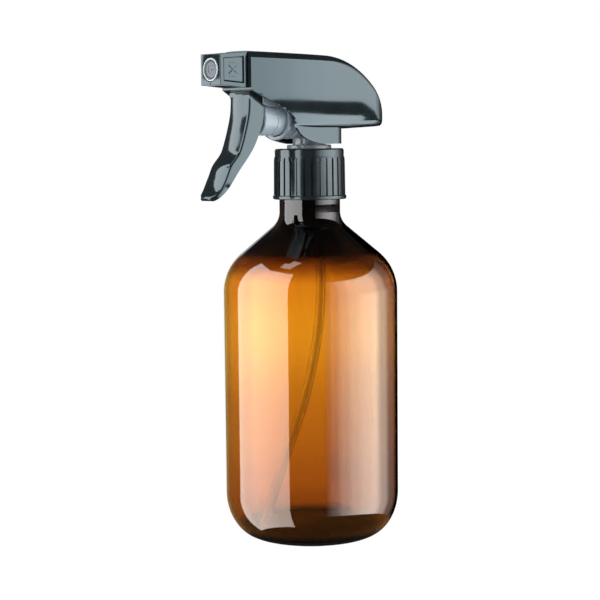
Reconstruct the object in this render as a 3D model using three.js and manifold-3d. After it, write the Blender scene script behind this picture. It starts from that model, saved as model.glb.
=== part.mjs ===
// A hand trigger sprayer on a half-litre amber bottle.
// Millimetres, +Z up, the bottle's axis is Z and the table is z = 0. The nozzle points along -X.
import * as THREE from "three";
import { mergeVertices } from "three/addons/utils/BufferGeometryUtils.js";
import Module from "manifold-3d";

// Bottle: a blown shell with a thick neck, a standing ring and a base pushed up to a flat middle.
const bottleRadius = 37;
const wall = 0.8;
const baseCorner = { across: 14, up: 19 };
const standingRing = 3;
const pushUp = { rise: 1, flat: 16 };
const shoulderArc = { radius: 21.5, z: 105 };
const neck = { radius: 12.9, bore: 10.9, filletRadius: 8, filletZ: 139, beadTop: 146, rim: 161.5 };
const threadRoot = 12.5;
const threadPitch = 4.2;
const threadTurns = 1.25;
const threadStartZ = 153.2;
const threadWire = 0.95;

// Collar: the ribbed screw cap.
const collar = { bottom: 144.4, top: 165.7, foot: 15.6, crown: 14.65, bore: 13.75, hole: 9.8, plate: 1.3 };
const rib = {
  count: 30, groove: 14.55, crest: 15.2, from: 146.2,
  to: 161.6, rise: 0.26, full: 0.36, fall: 0.9,
};
const collarThread = { radius: 13.65, wire: 0.65, drop: 1.9 };

// Stack from the bottle's rim up to the pump.
const stackGap = 0.1;
const gasketThickness = 1.2;
const gasketHole = 9.9;
const gasketRadius = 12.3;
const flangeThickness = 1.2;

// Pump: a vertical riser behind a level cylinder, and a level outlet barrel over it.
const riserX = 6;
const riserBore = 2.4;
const pump = {
  flange: 11.6, shoulder: 9.4, stem: 7, columnHalf: 5,
  columnFront: 0.8, columnBack: 9.3, top: 201.1,
};
const cylinder = { z: 178.5, radius: 8.6, rim: 9.2, bore: 7.6, front: -19, back: 0.6, floor: -1 };
const outlet = { z: 197.7, radius: 4, bore: 2.2 };
const barrel = { front: -46.6, radius: 3.4 };
const plate = { front: -39, thickness: 1.6, half: 6.4 };
const cheek = { inner: 6.6, outer: 7.5, bottom: 190.2, back: -29.2 };
const plug = { disc: 9.6, socket: 3.3, tubeHole: 2.25, throat: 1.2, vent: 0.8, ventX: -5 };

// Trigger and what it drives.
const pivot = { x: -33, z: 193, radius: 1.5, hole: 1.8 };
const trigger = {
  half: 6.3, channelHalf: 4.7, face: 2, nose: 2.1,
  noseBack: -30.2, boss: 3.3, pinGap: 0.05,
};
const triggerRibs = [{ x: -42.6, z: 163.4 }, { x: -39.2, z: 173.4 }];
const triggerRib = { length: 5, thickness: 1.2 };
const piston = {
  front: -29.9, radius: 7.3, back: -7, bore: 5.2,
  boreFront: -24, groove: 0.5, chamfer: 0.6,
};
const pistonLips = [-13.5, -10.5, -7.5];
const pistonSpring = { radius: 3.75, wire: 0.4, turns: 7.5, clearance: 0.75 };
const outletSpring = { radius: 1.55, wire: 0.2, turns: 6, clearance: 0.7, frontGap: 2.1 };
const outletSeatX = -30;
const ballRadius = 1.75;

// Shroud over the pump, and the square nozzle in front of it.
const shroud = {
  front: -39.3, frontHalf: 9.3, half: 14.5, wall: 1.3,
  top: 205.3, crown: 204, tail: 35.6, tailRound: 11,
};
const belly = { z: 172.4, tailZ: 175, turnZ: 189, tuck: 3, roof: 3.5 };
const block = { half: 13, rear: 11, corner: 6.5, bottom: 167.6, top: 178 };
const nozzle = {
  back: -39.5, front: -52.8, backHalf: 7.25,
  frontHalf: 6.25, pocket: 4.9, pocketDepth: 2.8,
};
const insert = { radius: 4.6, proud: 0.3, dish: 3.5, dishDepth: 0.8, orifice: 0.4 };

const fine = 36;
const medium = 24;
const coarse = 12;

const wasm = await Module();
wasm.setup();

// A closed three.js geometry as a solid that can be joined and cut.
function solid(geometry) {
  const bare = geometry.clone();
  bare.deleteAttribute("normal");
  bare.deleteAttribute("uv");
  const merged = mergeVertices(bare, 1e-4);
  return new wasm.Manifold(
    new wasm.Mesh({
      numProp: 3,
      vertProperties: merged.attributes.position.array,
      triVerts: new Uint32Array(merged.index.array),
    }),
  );
}

// A solid back as a geometry.
function surface(made) {
  const mesh = made.getMesh();
  const geometry = new THREE.BufferGeometry();
  geometry.setAttribute("position", new THREE.BufferAttribute(new Float32Array(mesh.vertProperties), 3));
  geometry.setIndex(new THREE.BufferAttribute(new Uint32Array(mesh.triVerts), 1));
  return geometry;
}

const join = (first, ...rest) => rest.reduce((all, next) => all.add(next), first);
const cut = (first, ...rest) => rest.reduce((all, next) => all.subtract(next), first);

// Turned about the Z axis from (radius, z) pairs, up the outside and down the inside.
function turned(profile, segments = fine) {
  const points = profile.map(([radius, z]) => new THREE.Vector2(radius, z));
  return new THREE.LatheGeometry(points, segments).rotateX(Math.PI / 2);
}

// A rod along Z, or along X, by its two ends.
function post(radius, low, high, x = 0, y = 0, segments = medium) {
  return solid(
    new THREE.CylinderGeometry(radius, radius, high - low, segments)
      .rotateX(Math.PI / 2)
      .translate(x, y, (low + high) / 2),
  );
}
function bar(radius, front, back, z, segments = medium) {
  return solid(
    new THREE.CylinderGeometry(radius, radius, back - front, segments)
      .rotateZ(Math.PI / 2)
      .translate((front + back) / 2, 0, z),
  );
}
function pin(radius, x, z, half) {
  return solid(new THREE.CylinderGeometry(radius, radius, 2 * half, coarse).translate(x, 0, z));
}
function brick([x0, y0, z0], [x1, y1, z1]) {
  return solid(
    new THREE.BoxGeometry(x1 - x0, y1 - y0, z1 - z0)
      .translate((x0 + x1) / 2, (y0 + y1) / 2, (z0 + z1) / 2),
  );
}

// Outlines drawn in the side view (x, z), the plan (x, y) and the front view (y, z), made into slabs.
function extruded(shape, depth, curveSegments) {
  return new THREE.ExtrudeGeometry(shape, { depth, curveSegments, bevelEnabled: false });
}
function sideSlab(shape, half, steps = 6) {
  return solid(extruded(shape, 2 * half, steps).rotateX(Math.PI / 2).translate(0, half, 0));
}
function planSlab(shape, low, high, steps = 6) {
  return solid(extruded(shape, high - low, steps).translate(0, 0, low));
}
function frontSlab(shape, front, back, steps = 6) {
  const upright = extruded(shape, back - front, steps).rotateX(Math.PI / 2).rotateZ(Math.PI / 2);
  return solid(upright.translate(front, 0, 0));
}

// A round wire wound about Z.
class Winding extends THREE.Curve {
  constructor(radius, pitch, turns) {
    super();
    Object.assign(this, { radius, pitch, turns });
  }
  getPoint(t, target = new THREE.Vector3()) {
    const angle = 2 * Math.PI * this.turns * t;
    const height = this.pitch * this.turns * t;
    return target.set(this.radius * Math.cos(angle), this.radius * Math.sin(angle), height);
  }
}
function wound(radius, pitch, turns, wire, stepsPerTurn = 14, sides = 3) {
  const section = new THREE.Shape().absarc(0, 0, wire, 0, 2 * Math.PI);
  return new THREE.ExtrudeGeometry(section, {
    extrudePath: new Winding(radius, pitch, turns),
    steps: Math.round(stepsPerTurn * turns),
    curveSegments: sides,
    bevelEnabled: false,
  });
}

// The bottle's side as arcs that share their centres inside and out, so the wall is an even offset.
function bottleSide(inset, neckInset) {
  const arc = {
    x: bottleRadius - shoulderArc.radius, z: shoulderArc.z,
    radius: shoulderArc.radius - inset,
  };
  const fillet = {
    x: neck.radius + neck.filletRadius, z: neck.filletZ,
    radius: neck.filletRadius + neckInset,
  };
  const apart = Math.hypot(fillet.x - arc.x, fillet.z - arc.z);
  const lean = Math.atan2(fillet.z - arc.z, fillet.x - arc.x);
  const normal = lean - Math.acos((arc.radius + fillet.radius) / apart);
  const side = new THREE.Path();
  side.moveTo(bottleRadius - baseCorner.across, inset);
  side.absellipse(
    bottleRadius - baseCorner.across, baseCorner.up, baseCorner.across - inset, baseCorner.up - inset,
    -Math.PI / 2, 0, false,
  );
  side.absarc(arc.x, arc.z, arc.radius, 0, normal, false);
  side.absarc(fillet.x, fillet.z, fillet.radius, normal + Math.PI, Math.PI, true);
  return side.getPoints(3).map((p) => [p.x, p.y]);
}

// The base inside the standing ring, from the ring in to the axis.
function baseMiddle(inset) {
  const rim = bottleRadius - baseCorner.across - standingRing;
  return [[rim, inset], [pushUp.flat, inset + pushUp.rise], [0, inset + pushUp.rise]];
}

function bottleGeometry() {
  const shell = solid(
    turned([
      ...baseMiddle(0).reverse(),
      ...bottleSide(0, 0),
      [neck.radius, neck.beadTop],
      [threadRoot, neck.beadTop + 0.5],
      [threadRoot, neck.rim],
      [neck.bore, neck.rim],
      ...bottleSide(wall, neck.radius - neck.bore).reverse(),
      ...baseMiddle(wall),
    ]),
  );
  const thread = wound(threadRoot, threadPitch, threadTurns, threadWire).translate(0, 0, threadStartZ);
  return surface(join(shell, solid(thread)));
}

function collarGeometry() {
  const shell = solid(
    turned([
      [collar.bore, collar.bottom],
      [collar.foot, collar.bottom],
      [collar.foot - 0.1, rib.from],
      [rib.groove, rib.from + 0.3],
      [rib.groove - 0.1, rib.to - 0.6],
      [collar.crown, rib.to],
      [collar.crown, collar.top - 0.5],
      [collar.crown - 0.5, collar.top],
      [collar.hole, collar.top],
      [collar.hole, collar.top - collar.plate],
      [collar.bore, collar.top - collar.plate],
      [collar.bore, collar.bottom],
    ], rib.count),
  );
  // Each rib is one low stretch and one high stretch of the outline, as shares of its pitch.
  const pitch = (2 * Math.PI) / rib.count;
  const root = rib.groove - 0.3;
  const stretch = [[0, root], [rib.rise, root], [rib.full, rib.crest], [rib.fall, rib.crest]];
  const corners = [];
  for (let i = 0; i < rib.count; i++) {
    for (const [share, radius] of stretch) {
      const angle = pitch * (i + share);
      corners.push(new THREE.Vector2(radius * Math.cos(angle), radius * Math.sin(angle)));
    }
  }
  const outline = new THREE.Shape(corners);
  outline.holes.push(new THREE.Path().absarc(0, 0, collar.bore + 0.3, 0, 2 * Math.PI, true));
  const ribs = planSlab(outline, rib.from, rib.to - 0.3, 10);
  const helix = wound(collarThread.radius, threadPitch, threadTurns, collarThread.wire);
  const ridge = solid(helix.translate(0, 0, threadStartZ - collarThread.drop));
  return surface(join(shell, ribs, ridge));
}

const gasketZ = neck.rim + stackGap;
const flangeZ = gasketZ + gasketThickness + stackGap;
const flangeTop = flangeZ + flangeThickness;

function gasketGeometry() {
  const low = gasketZ;
  const high = gasketZ + gasketThickness;
  return turned(
    [[gasketHole, low], [gasketRadius, low], [gasketRadius, high], [gasketHole, high], [gasketHole, low]],
    medium,
  );
}

// The plug that carries the intake ball's seat and the dip tube's socket.
function intakePlugGeometry() {
  const disc = post(plug.disc, neck.rim - 3.5, flangeZ + 0.3);
  const socket = post(plug.socket, neck.rim - 11, neck.rim - 3, riserX, 0, coarse);
  const seat = post(riserBore - 0.15, flangeZ, flangeTop + 3, riserX, 0, coarse);
  const tubeHole = post(plug.tubeHole, neck.rim - 12, neck.rim - 0.5, riserX, 0, coarse);
  const throat = post(plug.throat, neck.rim - 2, flangeTop + 4, riserX, 0, coarse);
  const vent = post(plug.vent, neck.rim - 5, flangeZ + 1, plug.ventX, 0, coarse);
  return surface(cut(join(disc, socket, seat), tubeHole, throat, vent));
}

function pumpBodyGeometry() {
  const low = flangeZ + 0.35;
  const flange = post(pump.flange, low, flangeTop + 0.1);
  const shoulder = post(pump.shoulder, low, block.bottom - 0.3);
  const stem = post(pump.stem, low, block.bottom + 3);
  const column = brick(
    [pump.columnFront, -pump.columnHalf, block.bottom],
    [pump.columnBack, pump.columnHalf, pump.top],
  );
  const barrelTube = bar(outlet.radius, plate.front + 0.5, riserX, outlet.z);
  const snout = bar(barrel.radius, barrel.front, plate.front + 1, outlet.z);
  const snap = bar(barrel.radius + 0.45, barrel.front + 3.6, barrel.front + 4.8, outlet.z);
  const face = brick(
    [plate.front, -plate.half, outlet.z - plate.half],
    [plate.front + plate.thickness, plate.half, outlet.z + plate.half],
  );
  const tank = bar(cylinder.radius, cylinder.front, cylinder.back + 1, cylinder.z);
  const rim = bar(cylinder.rim, cylinder.front, cylinder.front + 1.5, cylinder.z);
  // The cheeks hold the trigger's pivot and run back over the cylinder to the column.
  const wingFront = plate.front + 1.5;
  const wingBack = pump.columnFront + 1.2;
  const wingLow = cylinder.z + 5;
  const wing = new THREE.Shape();
  wing.moveTo(wingFront, cheek.bottom);
  wing.lineTo(cheek.back, cheek.bottom);
  wing.lineTo(cheek.back, wingLow + 1);
  wing.quadraticCurveTo(cheek.back + 1.2, wingLow + 0.2, cylinder.front, wingLow);
  wing.lineTo(wingBack, wingLow);
  wing.lineTo(wingBack, pump.top);
  wing.lineTo(wingFront, pump.top);
  const wingPair = cut(sideSlab(wing, cheek.outer), sideSlab(wing, cheek.inner));
  const bridge = brick([-4, -cheek.outer, outlet.z - 2], [riserX, cheek.outer, outlet.z + 2]);
  const lug = brick(
    [plate.front + 1.4, -cheek.outer, outlet.z - 3],
    [plate.front + 2.9, cheek.outer, outlet.z + 3],
  );
  const underside = post(7.4, flangeZ - 1, flangeZ + 1.6);
  const boss = post(3.2, flangeZ - 2, flangeZ + 3, riserX, 0, coarse);
  const foot = [flange, shoulder, stem, column];
  const upper = [barrelTube, snout, snap, face, tank, rim, wingPair, bridge, lug];
  return surface(
    cut(
      join(...foot, ...upper),
      post(riserBore, flangeZ - 1, outlet.z, riserX, 0, coarse),
      cut(underside, boss),
      bar(cylinder.bore, cylinder.front - 1, cylinder.floor, cylinder.z),
      bar(1.3, cylinder.floor - 1, riserX, cylinder.z, coarse),
      bar(outlet.bore, barrel.front - 1, outletSeatX, outlet.z, coarse),
      bar(1.1, outletSeatX - 1, riserX, outlet.z, coarse),
      pin(pivot.hole, pivot.x, pivot.z, cheek.outer + 1),
    ),
  );
}

// The piston is a cup that holds its spring, with three sealing lips at the back.
function pistonGeometry() {
  const { radius, front, chamfer, groove } = piston;
  const lips = pistonLips.flatMap((x) => [
    [radius - groove, x - 1.6],
    [radius, x - 0.5],
    [radius, x + 0.5],
    [radius - groove, x + 0.5],
  ]);
  const profile = [
    [0, front],
    [radius - chamfer, front],
    [radius, front + chamfer],
    [radius, pistonLips[0] - 2.5],
    ...lips,
    [piston.bore, piston.back],
    [piston.bore, piston.boreFront],
    [0, piston.boreFront],
  ];
  return turned(profile, medium).rotateY(Math.PI / 2).translate(0, 0, cylinder.z);
}

function pistonSpringGeometry() {
  const { radius, wire, turns, clearance } = pistonSpring;
  const front = piston.boreFront + clearance;
  const pitch = (cylinder.floor - clearance - front) / turns;
  return wound(radius, pitch, turns, wire, 12).rotateY(Math.PI / 2).translate(front, 0, cylinder.z);
}

// The trigger's two edges as (x, z) points, from the pivot down the front and up the back.
const triggerFront = [
  [-38.2, 188], [-38.4, 180], [-40.1, 172.2], [-43.1, 164.8], [-46.6, 158.8], [-50.1, 153.6],
  [-53.6, 149.6], [-56.6, 147.2],
];
const triggerBack = [
  [-55.2, 145.1], [-50.4, 149.2], [-44.7, 157], [-39.3, 163.4], [-36.6, 167], [-33.8, 172.4], [-31.6, 177],
  [-30.4, 181], [-30.3, 186.4],
];
const points2 = (list, shift = 0) => list.map(([x, z]) => new THREE.Vector2(x + shift, z));

function triggerGeometry() {
  const outline = new THREE.Shape();
  outline.moveTo(pivot.x + trigger.boss, pivot.z);
  outline.absarc(pivot.x, pivot.z, trigger.boss, 0, Math.PI, false);
  outline.splineThru(points2(triggerFront));
  outline.quadraticCurveTo(-57.6, 145.6, ...triggerBack[0]);
  outline.splineThru(points2(triggerBack.slice(1)));
  // The channel behind the front face is open to the back, with its roof under the cheeks.
  const [clearFront, clearBack, clearTop] = [-45, -25, 204];
  const channelRoof = 189.2;
  const channel = new THREE.Shape();
  channel.moveTo(clearFront, clearTop);
  channel.lineTo(clearFront, channelRoof);
  channel.lineTo(triggerFront[0][0] + trigger.face, channelRoof);
  channel.splineThru(points2(triggerFront.slice(0, 6), trigger.face));
  channel.lineTo(clearBack, 152);
  channel.lineTo(clearBack, clearTop);
  const levers = cut(sideSlab(outline, trigger.half, 4), sideSlab(channel, trigger.channelHalf, 4));
  // The tip is rounded in the plan view, and two ribs stiffen the channel.
  const plan = new THREE.Shape();
  plan.moveTo(-20, -7);
  plan.lineTo(-51, -6.5);
  plan.bezierCurveTo(-56, -6, -57.4, -3.4, -57.4, 0);
  plan.bezierCurveTo(-57.4, 3.4, -56, 6, -51, 6.5);
  plan.lineTo(-20, 7);
  const inside = trigger.channelHalf + 0.1;
  const [ribLow, ribHigh] = triggerRibs.map(({ x, z }) =>
    brick([x, -inside, z], [x + triggerRib.length, inside, z + triggerRib.thickness]),
  );
  const nose = pin(trigger.nose, trigger.noseBack - trigger.nose, cylinder.z, trigger.channelHalf + 0.5);
  const pins = pin(pivot.radius, pivot.x, pivot.z, cheek.outer - trigger.pinGap);
  const gap = brick([clearFront, -trigger.channelHalf, 190], [clearBack, trigger.channelHalf, clearTop]);
  const rounded = levers.intersect(planSlab(plan, 140, 210));
  return surface(join(rounded, ribLow, ribHigh, nose, cut(pins, gap)));
}

// The shroud is where its side, plan and front outlines all agree; inset gives its hollow.
function shroudForm(inset) {
  const tail = shroud.tail - inset;
  const side = new THREE.Shape();
  side.moveTo(shroud.front + inset, belly.z - 5);
  side.lineTo(shroud.front + inset, shroud.top - inset);
  side.lineTo(2, shroud.crown - inset);
  side.bezierCurveTo(18 - inset, 203.5 - inset, 29 - inset, 191.5 - inset, tail, 178.5);
  side.quadraticCurveTo(tail, belly.tailZ + inset, tail - 3, belly.tailZ + inset);
  side.lineTo(block.rear, belly.z + inset);
  side.lineTo(block.rear, belly.z - 5);
  const half = shroud.half - inset;
  const round = shroud.tailRound - inset;
  const flare = [[-30, 11.5], [-19, 13.4], [-5, shroud.half]];
  const plan = new THREE.Shape();
  plan.moveTo(shroud.front + inset, -shroud.frontHalf + inset);
  plan.splineThru(flare.map(([x, y]) => new THREE.Vector2(x, inset - y)));
  plan.absarc(tail - round, round - half, round, -Math.PI / 2, 0, false);
  plan.absarc(tail - round, half - round, round, 0, Math.PI / 2, false);
  plan.splineThru(flare.reverse().map(([x, y]) => new THREE.Vector2(x, y - inset)));
  plan.lineTo(shroud.front + inset, shroud.frontHalf - inset);
  const low = belly.z + inset;
  const high = shroud.top - belly.roof - inset;
  const drop = belly.turnZ - low;
  const flank = half - belly.tuck;
  const eave = half - belly.roof;
  const section = new THREE.Shape();
  section.moveTo(0, low);
  section.absellipse(flank, belly.turnZ, belly.tuck, drop, -Math.PI / 2, 0, false);
  section.absarc(eave, high, belly.roof, 0, Math.PI / 2, false);
  section.absarc(-eave, high, belly.roof, Math.PI / 2, Math.PI, false);
  section.absellipse(-flank, belly.turnZ, belly.tuck, drop, Math.PI, 1.5 * Math.PI, false);
  const sideForm = sideSlab(side, 17, 8);
  const planForm = planSlab(plan, 165, 210, 5);
  const frontForm = frontSlab(section, shroud.front - 5, shroud.tail + 5, 5);
  return sideForm.intersect(planForm).intersect(frontForm);
}

function blockForm(inset, low) {
  const half = block.half - inset;
  const round = block.corner - inset;
  const back = block.rear - inset - round;
  const plan = new THREE.Shape();
  plan.moveTo(-24, -half);
  plan.lineTo(back, -half);
  plan.absarc(back, round - half, round, -Math.PI / 2, 0, false);
  plan.absarc(back, half - round, round, 0, Math.PI / 2, false);
  plan.lineTo(-24, half);
  return planSlab(plan, low, block.top, 5);
}

// The mouth's rim in the side view, from the front down to the neck block.
const mouthRim = [
  [-40.5, 190.4], [-34.3, 187.4], [-25.7, 183], [-19.4, 178.8], [-17.4, 175], [-13.6, 171], [-2.3, 167.5],
];

function shroudGeometry() {
  const [front, ...rest] = points2(mouthRim);
  const last = rest[rest.length - 1];
  const mouth = new THREE.Shape();
  mouth.moveTo(-45, 190.6);
  mouth.lineTo(front.x, front.y);
  mouth.splineThru(rest);
  mouth.lineTo(last.x, 160);
  mouth.lineTo(-45, 160);
  const window = plate.half + 0.2;
  const opening = brick([-45, -window, outlet.z - window], [-35, window, outlet.z + window]);
  return surface(
    cut(
      join(shroudForm(0), blockForm(0, block.bottom)),
      shroudForm(shroud.wall),
      blockForm(shroud.wall, block.bottom - 5),
      sideSlab(mouth, 17, 4),
      opening,
    ),
  );
}

// The nozzle is a square cap, wider at the back, with a thumb recess in each side.
function nozzleGeometry() {
  const length = nozzle.back - nozzle.front;
  const tapered = new THREE.BoxGeometry(length, 2, 2);
  const position = tapered.attributes.position;
  for (let i = 0; i < position.count; i++) {
    const half = position.getX(i) < 0 ? nozzle.frontHalf : nozzle.backHalf;
    position.setY(i, position.getY(i) * half);
    position.setZ(i, position.getZ(i) * half);
  }
  let cap = solid(tapered.translate((nozzle.back + nozzle.front) / 2, 0, 0));
  for (let turn = 0; turn < 4; turn++) {
    const recess = new THREE.BoxGeometry(9.4, 1, 9.6).translate(-45.6, nozzle.backHalf - 0.2, 0);
    cap = cap.subtract(solid(recess.rotateX((turn * Math.PI) / 2)));
  }
  const pocket = bar(nozzle.pocket, nozzle.front - 1, nozzle.front + nozzle.pocketDepth, 0);
  const socket = bar(4.4, nozzle.front + nozzle.pocketDepth + 1, nozzle.back + 1, 0);
  const channel = bar(1, nozzle.front, nozzle.back, 0, coarse);
  return surface(cut(cap, pocket, socket, channel)).translate(0, 0, outlet.z);
}

// The round insert in the nozzle's face: a raised rim, a dished disc and the spray orifice.
function orificeInsertGeometry() {
  const front = nozzle.front - insert.proud;
  const disc = bar(insert.radius, front, nozzle.front + nozzle.pocketDepth - 0.3, outlet.z);
  const dish = bar(insert.dish, front - 1, front + insert.dishDepth, outlet.z);
  const orifice = bar(insert.orifice, front - 1, nozzle.back, outlet.z, coarse);
  return surface(cut(disc, dish, orifice));
}

function swirlPlugGeometry() {
  const disc = bar(2.9, barrel.front - 1.9, barrel.front - 0.2, outlet.z, coarse);
  const stem = bar(outlet.bore - 0.15, barrel.front - 0.5, barrel.front + 1.6, outlet.z, coarse);
  const slotUp = brick([barrel.front - 3, -0.4, outlet.z + 1], [barrel.front - 1.3, 0.4, outlet.z + 4]);
  const slotDown = brick([barrel.front - 3, -0.4, outlet.z - 4], [barrel.front - 1.3, 0.4, outlet.z - 1]);
  const bore = bar(0.7, barrel.front - 1.1, barrel.front + 2, outlet.z, 8);
  return surface(cut(join(disc, stem), slotUp, slotDown, bore));
}

function outletSpringGeometry() {
  const { radius, wire, turns, clearance, frontGap } = outletSpring;
  const front = barrel.front + frontGap;
  const back = outletSeatX - 2 * ballRadius - clearance;
  const pitch = (back - front) / turns;
  return wound(radius, pitch, turns, wire, 10).rotateY(Math.PI / 2).translate(front, 0, outlet.z);
}

// The dip tube bends forward to the front corner of the base. Its points run along its middle.
const tubeLine = [
  [riserX, neck.rim - 0.9], [riserX, 146], [6.2, 124], [6, 106], [5.3, 95], [3, 82], [-0.8, 68],
  [-5.8, 54.5], [-11, 43.6], [-16.4, 32.4], [-22.2, 19.6], [-28, 6.4],
];

function dipTubeGeometry() {
  const section = new THREE.Shape().absarc(0, 0, 2.1, 0, 2 * Math.PI);
  section.holes.push(new THREE.Path().absarc(0, 0, 1.4, 0, 2 * Math.PI, true));
  const route = new THREE.CatmullRomCurve3(tubeLine.map(([x, z]) => new THREE.Vector3(x, 0, z)));
  return new THREE.ExtrudeGeometry(section, {
    extrudePath: route,
    steps: 22,
    curveSegments: 5,
    bevelEnabled: false,
  });
}

const ball = (x, z) => new THREE.SphereGeometry(ballRadius, 12, 8).translate(x, 0, z);

function finish(color, roughness, metalness = 0) {
  return new THREE.MeshStandardMaterial({ color, roughness, metalness });
}
const amber = finish(0xb8630f, 0.08);
const black = finish(0x15191d, 0.22);
const natural = finish(0xb9c2c6, 0.4);
const soft = finish(0xe6e8e6, 0.6);
const steel = finish(0xc4c6c8, 0.25, 1);
const glass = finish(0xd8e4e2, 0.05);

const sprayBottle = new THREE.Group();
function add(name, geometry, material) {
  const mesh = new THREE.Mesh(geometry, material);
  mesh.name = name;
  sprayBottle.add(mesh);
}

add("bottle", bottleGeometry(), amber);
add("collar", collarGeometry(), black);
add("gasket", gasketGeometry(), soft);
add("intake_plug", intakePlugGeometry(), natural);
add("dip_tube", dipTubeGeometry(), natural);
add("inlet_ball", ball(riserX, flangeTop + 4.45), glass);
add("pump_body", pumpBodyGeometry(), natural);
add("piston", pistonGeometry(), soft);
add("piston_spring", pistonSpringGeometry(), steel);
add("trigger", triggerGeometry(), black);
add("outlet_ball", ball(outletSeatX - 1.55, outlet.z), glass);
add("outlet_spring", outletSpringGeometry(), steel);
add("swirl_plug", swirlPlugGeometry(), soft);
add("nozzle", nozzleGeometry(), black);
add("orifice_insert", orificeInsertGeometry(), black);
add("shroud", shroudGeometry(), black);

export default sprayBottle;
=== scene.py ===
import math
import bmesh
import bpy
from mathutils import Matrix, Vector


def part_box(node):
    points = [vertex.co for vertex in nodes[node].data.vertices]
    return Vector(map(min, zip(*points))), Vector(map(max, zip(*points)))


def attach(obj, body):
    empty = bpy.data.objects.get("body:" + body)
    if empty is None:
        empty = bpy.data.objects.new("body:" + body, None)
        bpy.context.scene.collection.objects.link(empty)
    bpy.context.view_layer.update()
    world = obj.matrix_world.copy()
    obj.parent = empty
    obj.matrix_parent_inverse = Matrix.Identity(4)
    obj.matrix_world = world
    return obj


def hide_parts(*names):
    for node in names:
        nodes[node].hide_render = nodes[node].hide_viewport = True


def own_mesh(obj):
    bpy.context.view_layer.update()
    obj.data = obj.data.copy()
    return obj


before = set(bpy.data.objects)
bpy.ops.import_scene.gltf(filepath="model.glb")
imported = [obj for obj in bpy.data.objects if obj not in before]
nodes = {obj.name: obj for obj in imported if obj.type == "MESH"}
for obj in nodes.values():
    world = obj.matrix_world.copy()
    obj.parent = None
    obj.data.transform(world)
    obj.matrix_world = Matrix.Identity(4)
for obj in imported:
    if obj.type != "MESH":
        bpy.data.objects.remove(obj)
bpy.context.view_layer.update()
mm = 0.001
print("frame loaded:", len(nodes), "nodes")


def clearSelection():
    if bpy.context.object and bpy.context.object.mode != "OBJECT":
        bpy.ops.object.mode_set(mode="OBJECT")
    bpy.ops.object.select_all(action="DESELECT")


def pickOnly(obj):
    clearSelection()
    obj.select_set(True)
    bpy.context.view_layer.objects.active = obj


def openEdit(obj, select="DESELECT"):
    pickOnly(obj)
    bpy.ops.object.mode_set(mode="EDIT")
    bpy.ops.mesh.select_mode(type="VERT")
    bpy.ops.mesh.select_all(action=select)


def closeEdit():
    bpy.ops.object.mode_set(mode="OBJECT")


def settle(obj):  # the place goes into the mesh
    pickOnly(obj)
    bpy.ops.object.transform_apply(location=True, rotation=True, scale=True)


def mergeAndTurnOut(obj, distance=0.004 * mm):
    openEdit(obj, "SELECT")
    bpy.ops.mesh.remove_doubles(threshold=distance)
    bpy.ops.mesh.normals_make_consistent(inside=False)
    closeEdit()


def applyModifier(obj, kind, **values):
    pickOnly(obj)
    modifier = obj.modifiers.new(kind.lower(), kind)
    for key, value in values.items():
        setattr(modifier, key, value)
    bpy.ops.object.modifier_apply(modifier=modifier.name)
    return obj


def combine(obj, other, operation):  # joins or cuts, then drops the second piece
    applyModifier(obj, "BOOLEAN", operation=operation, solver="EXACT", object=other)
    bpy.data.objects.remove(other)
    return obj


def cutAway(obj, *tools):
    for tool in tools:
        combine(obj, tool, "DIFFERENCE")
    return obj


def weld(obj, *others):
    for other in others:
        combine(obj, other, "UNION")
    return obj


def softenEdges(obj, width, angle=50, segments=2):
    return applyModifier(
        obj, "BEVEL", width=width * mm, segments=segments, limit_method="ANGLE",
        angle_limit=math.radians(angle), use_clamp_overlap=True, harden_normals=False,
    )


def smooth(obj, angle=35):
    pickOnly(obj)
    bpy.ops.object.shade_smooth_by_angle(angle=math.radians(angle))
    return applyModifier(obj, "WEIGHTED_NORMAL", keep_sharp=True, weight=50)


def smoothLine(points, count):  # an even run of points on a smooth curve through these
    ends = [[2 * a - b for a, b in zip(points[0], points[1])]]
    tail = [[2 * a - b for a, b in zip(points[-1], points[-2])]]
    knots = ends + [list(p) for p in points] + tail
    dense = []
    for a, b, c, d in zip(knots, knots[1:], knots[2:], knots[3:]):
        for step in range(24):
            t = step / 24
            dense.append([
                0.5 * (2 * q + (r - p) * t + (2 * p - 5 * q + 4 * r - s) * t * t
                       + (3 * q - p - 3 * r + s) * t ** 3)
                for p, q, r, s in zip(a, b, c, d)
            ])
    dense.append(list(points[-1]))
    reach = [0]
    for a, b in zip(dense, dense[1:]):
        reach.append(reach[-1] + math.dist(a, b))
    line, at = [], 0
    for step in range(count):
        target = reach[-1] * step / (count - 1)
        while at < len(reach) - 2 and reach[at + 1] < target:
            at += 1
        share = (target - reach[at]) / max(reach[at + 1] - reach[at], 1e-9)
        line.append([a + (b - a) * share for a, b in zip(dense[at], dense[at + 1])])
    return line


def arcPoints(x, z, across, up, start, end, steps):
    turns = [math.radians(start + (end - start) * i / steps) for i in range(steps + 1)]
    return [(x + across * math.cos(t), z + up * math.sin(t)) for t in turns]


# The ways of making a piece take sizes in millimetres.
def turnUp(name, profile, steps=64):  # a ring is drawn out along the profile, about Z
    clearSelection()
    rings = [(max(radius, 0.001), height) for radius, height in profile]
    radius, height = rings[0]
    bpy.ops.mesh.primitive_circle_add(
        vertices=steps, radius=radius * mm, location=(0, 0, height * mm))
    obj = bpy.context.object
    obj.name = name
    settle(obj)
    openEdit(obj, "SELECT")
    for (r0, z0), (r1, z1) in zip(rings, rings[1:]):
        bpy.ops.mesh.extrude_edges_move(
            TRANSFORM_OT_translate={"value": (0, 0, (z1 - z0) * mm)})
        if abs(r1 - r0) > 1e-7:
            bpy.ops.transform.resize(
                value=(r1 / r0, r1 / r0, 1), center_override=(0, 0, z1 * mm))
    closeEdit()
    mergeAndTurnOut(obj)
    return obj


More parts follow.
